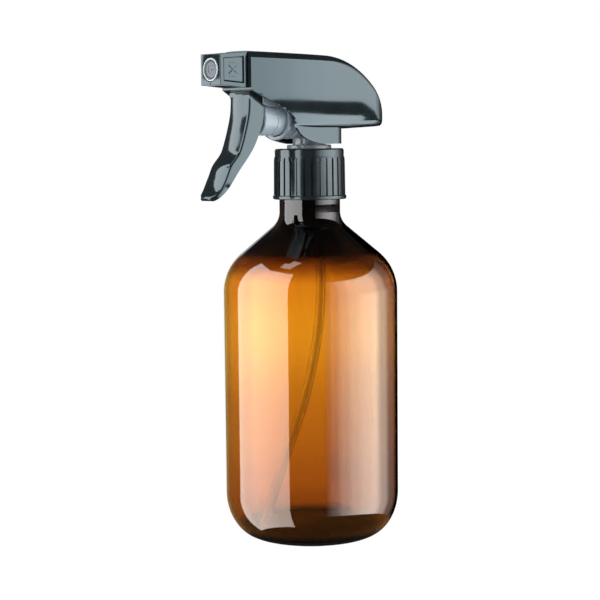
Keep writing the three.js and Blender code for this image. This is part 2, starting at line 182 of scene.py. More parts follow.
def layDown(obj, height):  # from the Z axis to a line along X at this height
    obj.rotation_euler = (0, math.radians(90), 0)
    obj.location = (0, 0, height * mm)
    settle(obj)
    return obj


def slab(name, outline, low, high, across="y"):  # an outline drawn out to a thickness
    clearSelection()
    bpy.ops.mesh.primitive_circle_add(vertices=len(outline), radius=mm, fill_type="NGON")
    obj = bpy.context.object
    obj.name = name
    for vertex, (a, b) in zip(obj.data.vertices, outline):
        place = {"y": (a, low, b), "z": (a, b, low), "x": (low, a, b)}[across]
        vertex.co = [value * mm for value in place]
    openEdit(obj, "SELECT")
    reach = (high - low) * mm
    move = {"y": (0, reach, 0), "z": (0, 0, reach), "x": (reach, 0, 0)}[across]
    bpy.ops.mesh.extrude_region_move(TRANSFORM_OT_translate={"value": move})
    bpy.ops.mesh.select_all(action="SELECT")
    bpy.ops.mesh.normals_make_consistent(inside=False)
    closeEdit()
    return obj


def block(name, low, high, round=0):  # a brick between two corners
    clearSelection()
    bpy.ops.mesh.primitive_cube_add(
        size=mm, location=[(a + b) / 2 * mm for a, b in zip(low, high)])
    obj = bpy.context.object
    obj.name = name
    obj.scale = [b - a for a, b in zip(low, high)]
    settle(obj)
    if round:
        softenEdges(obj, round, 30, 2)
    return obj


def rod(name, radius, low, high, across="x", at=(0, 0), sides=32):
    clearSelection()
    middle = (low + high) / 2
    place = {"x": (middle, *at), "y": (at[0], middle, at[1]), "z": (*at, middle)}[across]
    turn = {"x": (0, math.pi / 2, 0), "y": (math.pi / 2, 0, 0), "z": (0, 0, 0)}[across]
    bpy.ops.mesh.primitive_cylinder_add(
        vertices=sides, radius=radius * mm, depth=(high - low) * mm,
        location=[value * mm for value in place], rotation=turn)
    obj = bpy.context.object
    obj.name = name
    settle(obj)
    return obj


def skin(name, rings):  # a closed form laid ring by ring, where the section keeps changing
    mesh = bpy.data.meshes.new(name)
    form = bmesh.new()
    laid = [[form.verts.new([value * mm for value in point]) for point in ring] for ring in rings]
    for one, two in zip(laid, laid[1:]):
        for i in range(len(one)):
            j = (i + 1) % len(one)
            form.faces.new((one[i], one[j], two[j], two[i]))
    form.faces.new(laid[0])
    form.faces.new(laid[-1])
    bmesh.ops.recalc_face_normals(form, faces=form.faces)
    form.to_mesh(mesh)
    form.free()
    obj = bpy.data.objects.new(name, mesh)
    bpy.context.scene.collection.objects.link(obj)
    return obj


def wire(name, points, radius, closed=True, sides=4):  # a curve with thickness, made a mesh
    clearSelection()
    bpy.ops.curve.primitive_bezier_curve_add(location=(0, 0, 0))
    obj = bpy.context.object
    obj.name = name
    curve = obj.data
    curve.splines.clear()
    spline = curve.splines.new("POLY")
    spline.points.add(len(points) - 1)
    for knot, point in zip(spline.points, points):
        knot.co = (*[value * mm for value in point], 1)
    curve.dimensions = "3D"
    curve.bevel_depth = radius * mm
    curve.bevel_resolution = sides
    curve.use_fill_caps = closed
    bpy.ops.object.convert(target="MESH")
    settle(obj)
    return obj


bottleShape = {
    "radius": 37, "wall": 0.8, "cornerAcross": 14, "cornerUp": 19, "ring": 3,
    "domeUp": 6.2, "domeAcross": 29.5,
    "rise": 1, "flat": 16, "shoulder": 21.5, "shoulderZ": 105,
    "neck": 12.9, "bore": 10.9, "fillet": 8, "filletZ": 139, "bead": 146, "rim": 161.5,
    "root": 12.5, "pitch": 4.2, "turns": 1.25, "threadZ": 153.2, "steps": 128,
}


def bottleSide(shape, inset, neckInset):
    arcX = shape["radius"] - shape["shoulder"]
    arc = shape["shoulder"] - inset
    filletX = shape["neck"] + shape["fillet"]
    fillet = shape["fillet"] + neckInset
    rise = shape["filletZ"] - shape["shoulderZ"]
    apart = math.hypot(filletX - arcX, rise)
    lean = math.degrees(math.atan2(rise, filletX - arcX) - math.acos((arc + fillet) / apart))
    corner = shape["radius"] - shape["cornerAcross"]
    side = arcPoints(corner, shape["cornerUp"], shape["cornerAcross"] - inset,
                     shape["cornerUp"] - inset, -90, 0, 18)
    for share in range(1, 6):  # the straight wall, with rings enough for its colour
        rest = shape["cornerUp"] + (shape["shoulderZ"] - shape["cornerUp"]) * share / 6
        side.append((shape["radius"] - inset, rest))
    side += arcPoints(arcX, shape["shoulderZ"], arc, arc, 0, lean, 16)
    side += arcPoints(filletX, shape["filletZ"], fillet, fillet, lean + 180, 180, 12)
    return side


def makeBottle(shape):
    ringX = shape["radius"] - shape["cornerAcross"] - shape["ring"]
    foot = [(x, shape["rise"]) for x in (0, 6, 12, shape["flat"])]
    foot += [(shape["flat"] + 1.6, 0.72), (ringX - 1.2, 0.12), (ringX, 0)]
    neckUp = [
        (shape["neck"], 142), (shape["neck"], shape["bead"] - 0.4),
        (shape["neck"] - 0.15, shape["bead"]), (shape["root"], shape["bead"] + 0.4),
        (shape["root"], shape["rim"] - 0.3), (shape["root"] - 0.3, shape["rim"]),
        (shape["bore"] + 0.3, shape["rim"]), (shape["bore"], shape["rim"] - 0.3),
        (shape["bore"], 142),
    ]
    thick = shape["wall"]
    inner = bottleSide(shape, thick, shape["neck"] - shape["bore"])
    across = shape["domeAcross"]
    inner = [point for point in inner if point[0] > across or point[1] > shape["domeUp"] * 2]
    low = inner[0][1]
    dome = []
    for step in range(11):  # the base is thick and rises to its middle inside
        share = 1 - step / 11
        dome.append((across * share, low + (shape["domeUp"] - low) * (1 - share ** 2)))
    dome.append((0, shape["domeUp"]))
    profile = foot + bottleSide(shape, 0, 0) + neckUp + inner[::-1] + dome
    body = turnUp("bottleBody", profile, shape["steps"])
    helix = []
    count = 60
    for i in range(count + 1):
        turn = 2 * math.pi * shape["turns"] * i / count
        fade = min(1, i / 6, (count - i) / 6)  # the thread runs in and out of the wall
        radius = shape["root"] - 0.55 + 0.55 * fade
        helix.append((radius * math.cos(turn), radius * math.sin(turn),
                      shape["threadZ"] + shape["pitch"] * turn / (2 * math.pi)))
    weld(body, wire("neckThread", helix, 0.95, sides=3))
    return smooth(body, 40)


bottle = makeBottle(bottleShape)
print("bottle made")

collarShape = {
    "bottom": 144.4, "top": 165.7, "foot": 15.6, "crown": 14.65, "skirt": 15.2, "bore": 13.75,
    "hole": 9.8, "plate": 1.3, "ribFrom": 146.1, "ribTo": 161.7, "ribs": 30, "groove": 0.95,
    "root": 14.5,
}


def makeCollar(shape):
    top, foot = shape["top"], shape["bottom"]
    profile = [
        (shape["bore"], foot + 0.25), (shape["bore"] + 0.25, foot), (shape["foot"] - 0.3, foot),
        (shape["foot"], foot + 0.3), (shape["foot"], shape["ribFrom"] - 0.45),
        (shape["foot"] - 0.12, shape["ribFrom"] - 0.2), (shape["skirt"], shape["ribFrom"]),
        (shape["skirt"] - 0.05, 150), (shape["skirt"] - 0.1, 155), (shape["skirt"] - 0.15, 160.4),
        (shape["skirt"] - 0.25, shape["ribTo"]), (shape["crown"] + 0.08, shape["ribTo"] + 0.5),
        (shape["crown"], shape["ribTo"] + 0.8), (shape["crown"], top - 0.9),
        (shape["crown"] - 0.12, top - 0.45), (shape["crown"] - 0.4, top - 0.13),
        (shape["crown"] - 0.8, top), (shape["hole"] + 0.25, top), (shape["hole"], top - 0.25),
        (shape["hole"], top - shape["plate"]), (shape["bore"], top - shape["plate"]),
        (shape["bore"], foot + 0.25),
    ]
    cap = turnUp("collarCap", profile, 120)
    half = shape["groove"] / 2
    arch = shape["ribTo"] - 0.5
    outline = [(-half, shape["ribFrom"]), (half, shape["ribFrom"]), (half, arch)]
    outline += arcPoints(0, arch, half, half * 1.5, 0, 180, 8)[1:-1] + [(-half, arch)]
    tools = []
    for i in range(shape["ribs"]):  # one round-topped groove, turned to each place
        tool = slab("grooveTool", outline, shape["root"], shape["root"] + 2, "x")
        tool.rotation_euler = (0, 0, 2 * math.pi * (i + 0.36) / shape["ribs"])
        settle(tool)
        tools.append(tool)
    clearSelection()
    for tool in tools:
        tool.select_set(True)
    bpy.context.view_layer.objects.active = tools[0]
    bpy.ops.object.join()
    cutAway(cap, tools[0])
    softenEdges(cap, 0.12, 48, 2)
    helix = []
    for i in range(49):
        turn = 2 * math.pi * bottleShape["turns"] * i / 48
        helix.append((13.7 * math.cos(turn), 13.7 * math.sin(turn),
                      bottleShape["threadZ"] - 1.9 + bottleShape["pitch"] * turn / (2 * math.pi)))
    weld(cap, wire("capThread", helix, 0.6, sides=2))
    return smooth(cap, 38)


collarCap = makeCollar(collarShape)
print("closure made")

shroudShape = {
    "front": -39.3, "tail": 35.6, "top": 205.3, "crown": 204, "crownX": 2, "half": 14.5,
    "wall": 1.3, "round": 3.6, "flatZ": 194, "lean": 0.00025, "underRound": 3,
    "belly": 173.9, "bellyTail": 175, "tailRound": 11, "lip": 2.6, "endZ": 178,
    "flare": [(-39.3, 9.3), (-36, 10.1), (-30, 11.5), (-24, 12.6), (-19, 13.4), (-12, 14.15),
              (-5, 14.5)],
    "mouth": [(-40.5, 190.4), (-34.3, 187.3), (-25.7, 182.9), (-19.1, 178.8), (-17.5, 175.2),
              (-16.4, 173.2), (-13.4, 170.6), (-8.5, 168.7), (-2.3, 167.5)],
    "blockHalf": 11.9, "blockRear": 11, "blockCorner": 6, "blockBottom": 167.6, "window": 6.6,
}


def readOff(line, x):  # height of an (x, z) line at x
    for (x0, z0), (x1, z1) in zip(line, line[1:]):
        if x0 <= x <= x1:
            return z0 + (z1 - z0) * (x - x0) / max(x1 - x0, 1e-9)
    return line[0][1] if x < line[0][0] else line[-1][1]


def bend(points, steps=24):  # a Bezier curve through its end points
    line = []
    for i in range(steps + 1):
        t = i / steps
        level = [list(p) for p in points]
        while len(level) > 1:
            level = [[a + (b - a) * t for a, b in zip(p, q)] for p, q in zip(level, level[1:])]
        line.append(tuple(level[0]))
    return line


def shroudRings(shape, inset):
    tail = shape["tail"] - inset
    front = shape["front"] + inset
    crown = [(front, shape["top"] - inset), (shape["crownX"] - 12, shape["crown"] + 0.5 - inset)]
    crown += bend([(shape["crownX"] - 4, shape["crown"] + 0.25 - inset),
                   (16.5 - inset, 203.9 - inset), (28.6 - inset, 191.8 - inset),
                   (tail, shape["endZ"])], 40)
    low = shape["belly"] + inset
    lowTail = shape["bellyTail"] + inset
    under = [(front, low), (shape["blockRear"], low), (tail - shape["lip"], lowTail)]
    under += bend([(tail - shape["lip"], lowTail), (tail, lowTail), (tail, shape["endZ"])], 12)[1:]
    plan = smoothLine(shape["flare"], 40)
    bendX = tail - shape["tailRound"] + inset
    stations = [front + (bendX - front) * i / 40 for i in range(40)]
    stations += [bendX + (tail - bendX) * math.sin(math.radians(88.2 * i / 22)) for i in range(23)]
    rings = []
    for x in stations:
        high, bottom = readOff(crown, x), readOff(under, x)
        half = readOff(plan, x) if x < -5 else shape["half"]
        half -= inset
        if x > bendX:
            curve = shape["tailRound"] - inset
            half += math.sqrt(max(curve ** 2 - (x - bendX) ** 2, 0)) - curve
        tall = high - bottom
        edge = min(shape["round"], 0.42 * tall, 0.6 * half)
        top = high - edge
        corner = min(shape["underRound"], 0.3 * tall, 0.4 * half)
        flat = min(shape["flatZ"], bottom + 0.8 * tall, top - 0.1)
        draw = [(half - shape["lean"] * (flat - z) ** 3, z)  # the side draws in below its flat
                for z in [bottom + corner + (flat - bottom - corner) * share / 12 for share in range(13)]]
        side = [(0, bottom), ((draw[0][0] - corner) * 0.5, bottom)]
        side += arcPoints(draw[0][0] - corner, bottom + corner, corner, corner, -90, -9, 7)
        side += draw
        side += [(half, flat + (top - flat) * share / 3) for share in (1, 2)]
        side += arcPoints(half - edge, top, edge, edge, 0, 90, 9)
        side += [((half - edge) * 0.5, high + 0.1), (0, high + 0.15)]
        ring = [(x, y, z) for y, z in side]
        ring += [(x, -y, z) for y, z in side[-2:0:-1]]
        rings.append(ring)
    return rings


def planOutline(shape, inset):
    half = shape["blockHalf"] - inset
    corner = shape["blockCorner"] - inset
    back = shape["blockRear"] - inset - corner
    outline = [(-24, -half)] + arcPoints(back, corner - half, corner, corner, -90, 0, 10)
    return outline + arcPoints(back, half - corner, corner, corner, 0, 90, 10) + [(-24, half)]


def makeShroud(shape):
    shell = skin("shroudShell", shroudRings(shape, 0))
    base = shape["blockBottom"]
    weld(shell, slab("neckBlock", planOutline(shape, 0), base, 176, "z"))
    hollow = skin("hollow", shroudRings(shape, shape["wall"]))
    weld(hollow, slab("blockHollow", planOutline(shape, shape["wall"]), base - 4, 176, "z"))
    cutAway(shell, hollow)
    line = smoothLine(shape["mouth"], 44)
    outline = [(-46, 190.6)] + [tuple(p) for p in line] + [(-2.3, 158), (-46, 158)]
    cutAway(shell, slab("mouthTool", outline, -18, 18))
    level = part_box("nozzle")
    middle = (level[0].z + level[1].z) / 2 / mm
    window = shape["window"]
    opening = block("windowTool", (-46, -window, middle - window), (-35, window, middle + window))
    cutAway(shell, opening)
    softenEdges(shell, 0.22, 55, 2)
    return smooth(shell, 30)


shroudShell = makeShroud(shroudShape)
print("shroud made:", len(shroudShell.data.polygons))

nozzleShape = {
    "back": -39.5, "front": -52.8, "backHalf": 7.25, "frontHalf": 6.25, "z": 197.7,
    "pocket": 5, "pocketDepth": 2.8, "frame": 1.75, "sink": 0.55,
}


def makeNozzle(shape):
    z = shape["z"]
    front, back = shape["front"], shape["back"]
    clearSelection()
    bpy.ops.mesh.primitive_cube_add(size=mm)
    cap = bpy.context.object
    cap.name = "nozzleCap"
    for vertex in cap.data.vertices:  # wider at the back
        ahead = vertex.co.x < 0
        half = shape["frontHalf"] if ahead else shape["backHalf"]
        vertex.co = ((front if ahead else back) * mm, math.copysign(half, vertex.co.y) * mm,
                     (z + math.copysign(half, vertex.co.z)) * mm)
    openEdit(cap)
    bpy.ops.mesh.select_mode(type="FACE")
    form = bmesh.from_edit_mesh(cap.data)
    for face in form.faces:
        face.select = abs(face.normal.x) < 0.5
    bmesh.update_edit_mesh(cap.data)
    bpy.ops.mesh.inset(thickness=shape["frame"] * mm, depth=0, use_individual=True)
    bpy.ops.mesh.inset(thickness=0.35 * mm, depth=-shape["sink"] * mm, use_individual=True)
    closeEdit()
    softenEdges(cap, 0.3, 25, 3)
    middle = (front + back) / 2
    for side in (-1, 1):  # a plain cross of bars between short dashes, on both sides
        face = side * ((shape["frontHalf"] + shape["backHalf"]) / 2 - shape["sink"] + 0.06)
        for lean in (-40, 40):
            bar = block("crossBar", (-2.6, -0.16, -0.17), (2.6, 0.16, 0.17), 0.06)
            bar.rotation_euler = (0, math.radians(lean), 0)
            bar.location = (middle * mm, face * mm, z * mm)
            settle(bar)
            weld(cap, bar)
        for dash in (-1.2, 0, 1.2):
            for rise in (-2.75, 2.75):
                weld(cap, block("dash", (middle + dash - 0.4, face - 0.16, z + rise - 0.16),
                                (middle + dash + 0.4, face + 0.16, z + rise + 0.16)))
    floor = front + shape["pocketDepth"]
    cutAway(cap, rod("pocketTool", shape["pocket"], front - 2, floor, at=(0, z), sides=64))
    cutAway(cap, rod("socketTool", 4.4, floor + 1, back + 2, at=(0, z)))
    cutAway(cap, rod("boreTool", 1, front, back, at=(0, z), sides=24))
    for rise in (-5.6, 5.6):  # the two marks that show which way the nozzle is turned
        low, high = z + rise - 0.3, z + rise + 0.3
        cutAway(cap, block("markTool", (front - 1, -0.35, low), (front + 0.25, 0.35, high)))
    return smooth(cap, 30)


def makeInsert(shape):
    profile = [
        (0.3, 2.5), (0.3, 0.55), (0.6, 0.42), (1.7, 0.42), (1.8, 0.3), (3.1, 0.3), (3.3, 0.45),
        (3.35, 1.5),
        (4.0, 1.5), (4.03, 0.1), (4.12, -0.13), (4.28, -0.24), (4.45, -0.2), (4.6, 0), (4.66, 0.3),
        (4.7, 2.5), (0.3, 2.5),
    ]
    placed = [(radius, x + shape["front"]) for radius, x in profile]
    insert = layDown(turnUp("sprayInsert", placed, 64), shape["z"])
    return smooth(insert, 30)


nozzleCap = makeNozzle(nozzleShape)
sprayInsert = makeInsert(nozzleShape)
print("nozzle made")

triggerShape = {
    "front": [(-38.2, 188), (-38.8, 180), (-40.9, 172.2), (-43.2, 165.9), (-44.8, 163.3),
              (-48.3, 159.5), (-50.7, 154.8), (-52.8, 151), (-54.5, 148.8), (-56.4, 147.2)],
    "back": [(-30.3, 186.4), (-30.2, 181), (-30.7, 177), (-32.5, 172.4), (-35.3, 167),
             (-38.3, 163), (-43.6, 157), (-49.6, 149.7), (-54.6, 145.2)],
    "half": 6.3, "crown": 0.4, "round": 1.1, "channelHalf": 4.7, "face": 2.2,
    "pivotX": -33, "pivotZ": 193, "boss": 3.3, "pin": 1.5, "pinReach": 7.45,
    "noseX": -32.3, "noseZ": 178.5, "nose": 2.1,
}


def triggerRing(ahead, behind, half, crown, round):
    depth = math.dist(ahead, behind)
    along = [(b - a) / depth for a, b in zip(ahead, behind)]
    side = [(depth * 0.98, half), (depth * 0.6, half), (max(round + crown, depth * 0.35), half)]
    corner = arcPoints(0, 0, 1, 1, 0, 90, 6)
    side += [(crown + round - round * b, half - round + round * a) for a, b in corner]
    flat = half - round
    for share in (0.75, 0.5, 0.25, 0):
        side.append((crown * share ** 2, flat * share))
    ring = [(y, n) for n, y in side] + [(-y, n) for n, y in side[-2::-1]]
    return [(ahead[0] + along[0] * n, y, ahead[1] + along[1] * n) for y, n in ring]


def makeTrigger(shape):
    count = 46
    ahead = smoothLine(shape["front"], count)
    behind = smoothLine(shape["back"], count)
    rings = []
    for i, (a, b) in enumerate(zip(ahead, behind)):
        down = i / (count - 1)
        narrow = max(0, (down - 0.82) / 0.18)
        half = shape["half"] - 2.6 * (1 - math.sqrt(max(0, 1 - narrow ** 2)))
        depth = math.dist(a, b)
        crown = min(shape["crown"], depth * 0.25)
        rings.append(triggerRing(a, b, half, crown, min(shape["round"], depth * 0.4)))
    for out, share in ((0.5, 0.85), (0.85, 0.62), (1.0, 0.35)):  # the rounded tip
        tip, heel = ahead[-1], behind[-1]
        mid = [(p + q) / 2 for p, q in zip(tip, heel)]
        push = (-0.9 * out * 1.1, -0.42 * out * 1.1)
        a = [m + (p - m) * share + s for m, p, s in zip(mid, tip, push)]
        b = [m + (p - m) * share + s for m, p, s in zip(mid, heel, push)]
        depth = math.dist(a, b)
        rings.append(triggerRing(a, b, 3.7 * (0.55 + 0.45 * share), depth * 0.25, depth * 0.4))
    lever = skin("triggerLever", rings)
    px, pz = shape["pivotX"], shape["pivotZ"]
    outline = arcPoints(px, pz, shape["boss"], shape["boss"], 0, 180, 16)
    outline += [(-38.15, 187.6), (-36.5, 184), (-32.2, 184), (-30.35, 186.4)]
    side = shape["half"] - 0.06  # just inside the lever's own sides
    weld(lever, slab("triggerHead", outline, -side, side))
    inner = [(-48, 204), (-48, 189.2), (shape["front"][0][0] + shape["face"], 189.2)]
    inner += [(x + shape["face"], z) for x, z in smoothLine(shape["front"][:7], 24)]
    inner += [(-25, 152), (-25, 204)]
    cutAway(lever, slab("channelTool", inner, -shape["channelHalf"], shape["channelHalf"]))
    inside = shape["channelHalf"] + 0.1
    for x, z in ((-42.6, 163.4), (-39.2, 173.4)):
        weld(lever, block("rib", (x, -inside, z), (x + 5, inside, z + 1.2)))
    softenEdges(lever, 0.25, 55, 2)
    weld(lever, rod("nose", shape["nose"], -inside, inside, "y", (shape["noseX"], shape["noseZ"])))
    for side in (-1, 1):
        ends = sorted((side * shape["channelHalf"], side * shape["pinReach"]))
        weld(lever, rod("pin", shape["pin"], *ends, "y", (px, pz), 24))
    return smooth(lever, 32)


triggerLever = makeTrigger(triggerShape)
print("trigger made:", len(triggerLever.data.polygons))

pumpShape = {
    "z": 178.5, "tank": 8.6, "rim": 9.2, "bore": 7.6, "front": -19, "floor": -1, "back": 1.6,
    "rings": (-2.6, -5.8, -9, -12.2),
    "outletZ": 197.7, "outlet": 4, "outletBore": 2.2, "snout": 3.4, "snoutFront": -46.6,
    "plateX": -39, "plate": 6.4, "cheekIn": 6.6, "cheekOut": 7.5, "cheekLow": 190.2,
    "riserX": 6, "riser": 2.4, "flange": 11.6, "low": 163.25, "flangeTop": 164.2, "top": 201,
}


def makePump(shape):
    z, outZ = shape["z"], shape["outletZ"]
    wide, rim, bore = shape["tank"], shape["rim"], shape["bore"]
    front, back = shape["front"], shape["back"]
    tank = [(0, back), (wide - 0.7, back), (wide - 0.2, back - 0.2), (wide, back - 0.7)]
    for x in shape["rings"]:  # low rings round the cylinder
        tank += [(wide, x + 0.35), (wide + 0.18, x + 0.2), (wide + 0.18, x - 0.2), (wide, x - 0.35)]
    tank += [(wide, front + 1.9), (rim - 0.2, front + 1.7), (rim, front + 1.4), (rim, front + 0.3),
             (rim - 0.25, front), (bore + 0.3, front), (bore, front + 0.3), (bore, shape["floor"]),
             (0, shape["floor"])]
    body = layDown(turnUp("pumpHousing", tank, 64), z)
    low, flange, flangeTop = shape["low"], shape["flange"], shape["flangeTop"]
    stem = [(0, low), (flange - 0.3, low), (flange, low + 0.2), (flange, flangeTop),
            (9.6, flangeTop), (9.4, flangeTop + 0.25), (9.4, 166.9), (9.1, 167.25),
            (7, 167.3), (7, 170.6), (0, 170.6)]
    weld(body, turnUp("pumpFoot", stem, 64))
    weld(body, block("column", (0.8, -5, 167.5), (9.3, 5, shape["top"]), 0.4))
    outlet, snout = shape["outlet"], shape["snout"]
    weld(body, rod("outletTube", outlet, shape["plateX"] + 0.5, shape["riserX"], at=(0, outZ)))
    weld(body, rod("snout", snout, shape["snoutFront"], shape["plateX"] + 1, at=(0, outZ)))
    weld(body, rod("snap", snout + 0.4, -43, -41.8, at=(0, outZ)))
    half = shape["plate"]
    plateX = shape["plateX"]
    plate = block("frontPlate", (plateX, -half, outZ - half), (plateX + 1.6, half, outZ + half), 0.3)
    weld(body, plate)
    wing = [(-37.5, shape["cheekLow"]), (-31.4, shape["cheekLow"]), (-31.4, z + 6)]
    wing += bend([(-31.4, z + 6), (-31, z + 4.4), (-26, z + 4.4), (shape["front"], z + 4.4)], 8)[1:]
    wing += [(2, z + 4.4), (2, shape["top"]), (-37.5, shape["top"])]
    for side in (-1, 1):
        ends = sorted((side * shape["cheekIn"], side * shape["cheekOut"]))
        cheek = slab("cheek", wing, *ends)
        softenEdges(cheek, 0.15, 40, 1)
        weld(body, cheek)
        for x, high in ((-25.4, 189.5), (-21.6, 188.5)):  # stiffening ribs on the cheek
            ends = sorted((side * (shape["cheekOut"] - 0.3), side * (shape["cheekOut"] + 0.35)))
            weld(body, block("cheekRib", (x, ends[0], z + 6), (x + 0.7, ends[1], high)))
    weld(body, block("bridge", (-4, -7.5, outZ - 2), (6, 7.5, outZ + 2)))
    weld(body, block("lug", (-37.6, -7.5, outZ - 3), (-36.1, 7.5, outZ + 3)))
    cutAway(body, rod("riserTool", shape["riser"], 160, outZ, "z", (shape["riserX"], 0), 24))
    hollow = rod("footTool", 7.4, 162, 164.5, "z", (0, 0), 48)
    cutAway(hollow, rod("bossTool", 3.2, 161, 165, "z", (shape["riserX"], 0), 24))
    cutAway(body, hollow)
    cutAway(body, rod("portTool", 1.3, -2, shape["riserX"], at=(0, z), sides=16))
    start = shape["snoutFront"] - 1
    cutAway(body, rod("outletTool", shape["outletBore"], start, -30, at=(0, outZ), sides=24))
    cutAway(body, rod("wayTool", 1.1, -31, shape["riserX"], at=(0, outZ), sides=16))
    cutAway(body, rod("pivotTool", 1.8, -9, 9, "y", (-33, 193), 32))
    return smooth(body, 32)


def makePiston():
    profile = [(0, -29.6), (4.2, -29.6), (4.5, -29.9), (6.7, -29.9), (7.1, -29.75), (7.3, -29.3),
               (7.3, -24.2), (7.1, -24), (7.1, -23.2), (7.3, -23), (7.3, -16)]
    for x in (-13.5, -10.5, -7.5):
        profile += [(6.8, x - 1.6), (7.3, x - 0.5), (7.3, x + 0.5), (6.8, x + 0.5)]
    profile += [(5.2, -7), (5.2, -24), (0, -24)]
    return smooth(layDown(turnUp("pistonCup", profile, 64), pumpShape["z"]), 30)


def coil(name, front, back, radius, gauge, turns, height):
    points = []
    count = int(turns * 20)
    for i in range(count + 1):
        turn = 2 * math.pi * turns * i / count
        x = front + (back - front) * i / count
        points.append((x, radius * math.cos(turn), height + radius * math.sin(turn)))
    return smooth(wire(name, points, gauge, sides=2), 60)


def makeTube():
    route = [(6, 160.6), (6, 146), (6.2, 124), (6, 106), (5.3, 95), (3, 82), (-0.8, 68),
             (-5.8, 54.5), (-11, 43.6), (-16.4, 32.4), (-22.2, 19.6), (-28, 6.4)]
    points = [(x, 0, z) for x, z in smoothLine(route, 70)]
    tube = wire("dipTube", points, 2.1, closed=False, sides=7)
    mergeAndTurnOut(tube)
    applyModifier(tube, "SOLIDIFY", thickness=0.7 * mm, offset=-1, use_rim=True)
    return smooth(tube, 50)


pumpHousing = makePump(pumpShape)
pistonCup = makePiston()
returnSpring = coil("returnSpring", -23.25, -1.75, 3.75, 0.4, 7.5, pumpShape["z"])
valveSpring = coil("valveSpring", -44.5, -34.2, 1.55, 0.2, 6, pumpShape["outletZ"])
dipTube = makeTube()
print("pump made:", len(pumpHousing.data.polygons))


def addNode(tree, kind, **values):
    node = tree.nodes.new(kind)
    for key, value in values.items():
        setattr(node, key, value)
    return node


def makeGrain():  # fine unevenness of a moulded skin, used by every plastic here
    group = bpy.data.node_groups.new("mouldedSkin", "ShaderNodeTree")
    sockets = group.interface
    sockets.new_socket("Place", in_out="INPUT", socket_type="NodeSocketVector")
    for label, value in (("Fine", 900.0), ("Broad", 60.0), ("Least", 0.1), ("Most", 0.2)):
        socket = sockets.new_socket(label, in_out="INPUT", socket_type="NodeSocketFloat")
        socket.default_value = value
    for label in ("Mottle", "Roughness", "Height"):
        sockets.new_socket(label, in_out="OUTPUT", socket_type="NodeSocketFloat")
    start = addNode(group, "NodeGroupInput")
    end = addNode(group, "NodeGroupOutput")
    fine = addNode(group, "ShaderNodeTexNoise")
    broad = addNode(group, "ShaderNodeTexNoise")
    spread = addNode(group, "ShaderNodeMapRange")
    group.links.new(start.outputs["Place"], fine.inputs["Vector"])
    group.links.new(start.outputs["Place"], broad.inputs["Vector"])
    group.links.new(start.outputs["Fine"], fine.inputs["Scale"])
    group.links.new(start.outputs["Broad"], broad.inputs["Scale"])
    fine.inputs["Detail"].default_value = 3
    broad.inputs["Detail"].default_value = 4
    spread.inputs["From Min"].default_value = 0.3
    spread.inputs["From Max"].default_value = 0.7
    group.links.new(broad.outputs["Fac"], spread.inputs["Value"])
    group.links.new(start.outputs["Least"], spread.inputs["To Min"])
    group.links.new(start.outputs["Most"], spread.inputs["To Max"])
    group.links.new(spread.outputs["Result"], end.inputs["Roughness"])
    group.links.new(broad.outputs["Fac"], end.inputs["Mottle"])
    group.links.new(fine.outputs["Fac"], end.inputs["Height"])
    return group


grain = makeGrain()


def fillRamp(ramp, stops):  # the two end stops are there already
    ramp.color_ramp.interpolation = "EASE"
    elements = ramp.color_ramp.elements
    elements[0].color = (*stops[0][1], 1)
    elements[-1].color = (*stops[-1][1], 1)
    for position, color in stops[1:-1]:
        elements.new(position).color = (*color, 1)


def addPaintedRimHighlight(tree, place, color, rim):  # a painted highlight: a paler rim round a line along X
    centre = addNode(tree, "ShaderNodeMapping")
    centre.inputs["Location"].default_value = (0, 0, -rim["height"] * mm)
    centre.inputs["Scale"].default_value = (0, 1, 1)
    reach = addNode(tree, "ShaderNodeVectorMath", operation="LENGTH")
    share = addNode(tree, "ShaderNodeMapRange")
    share.inputs["From Min"].default_value = rim["reach"][0] * mm
    share.inputs["From Max"].default_value = rim["reach"][1] * mm
    both = addNode(tree, "ShaderNodeMix", data_type="RGBA")
    both.inputs["B"].default_value = (*rim["color"], 1)
    tree.links.new(place.outputs["Object"], centre.inputs["Vector"])
    tree.links.new(centre.outputs["Vector"], reach.inputs[0])
    tree.links.new(reach.outputs["Value"], share.inputs["Value"])
    tree.links.new(share.outputs["Result"], both.inputs["Factor"])
    tree.links.new(color.outputs["Result"], both.inputs["A"])
    return both


def makePlastic(name, look):
    material = bpy.data.materials.new(name)
    material.use_nodes = True
    tree = material.node_tree
    shader = tree.nodes["Principled BSDF"]
    place = addNode(tree, "ShaderNodeTexCoord")
    skinNode = addNode(tree, "ShaderNodeGroup", node_tree=grain)
    tree.links.new(place.outputs["Object"], skinNode.inputs["Place"])
    for label in ("Fine", "Broad", "Least", "Most"):
        skinNode.inputs[label].default_value = look[label]
    mix = addNode(tree, "ShaderNodeMix", data_type="RGBA")
    mix.inputs["A"].default_value = (*look["dark"], 1)
    mix.inputs["B"].default_value = (*look["light"], 1)
    tree.links.new(skinNode.outputs["Mottle"], mix.inputs["Factor"])
    # a look with a rim gets a painted highlight ring in its colour
    base = addPaintedRimHighlight(tree, place, mix, look["rim"]) if "rim" in look else mix
    tree.links.new(base.outputs["Result"], shader.inputs["Base Color"])
    tree.links.new(skinNode.outputs["Roughness"], shader.inputs["Roughness"])
    bump = addNode(tree, "ShaderNodeBump")
    bump.inputs["Strength"].default_value = look["bump"]
    bump.inputs["Distance"].default_value = 0.05 * mm
    tree.links.new(skinNode.outputs["Height"], bump.inputs["Height"])
    tree.links.new(bump.outputs["Normal"], shader.inputs["Normal"])
    for label, value in look.get("shader", {}).items():
        shader.inputs[label].default_value = value
    return material


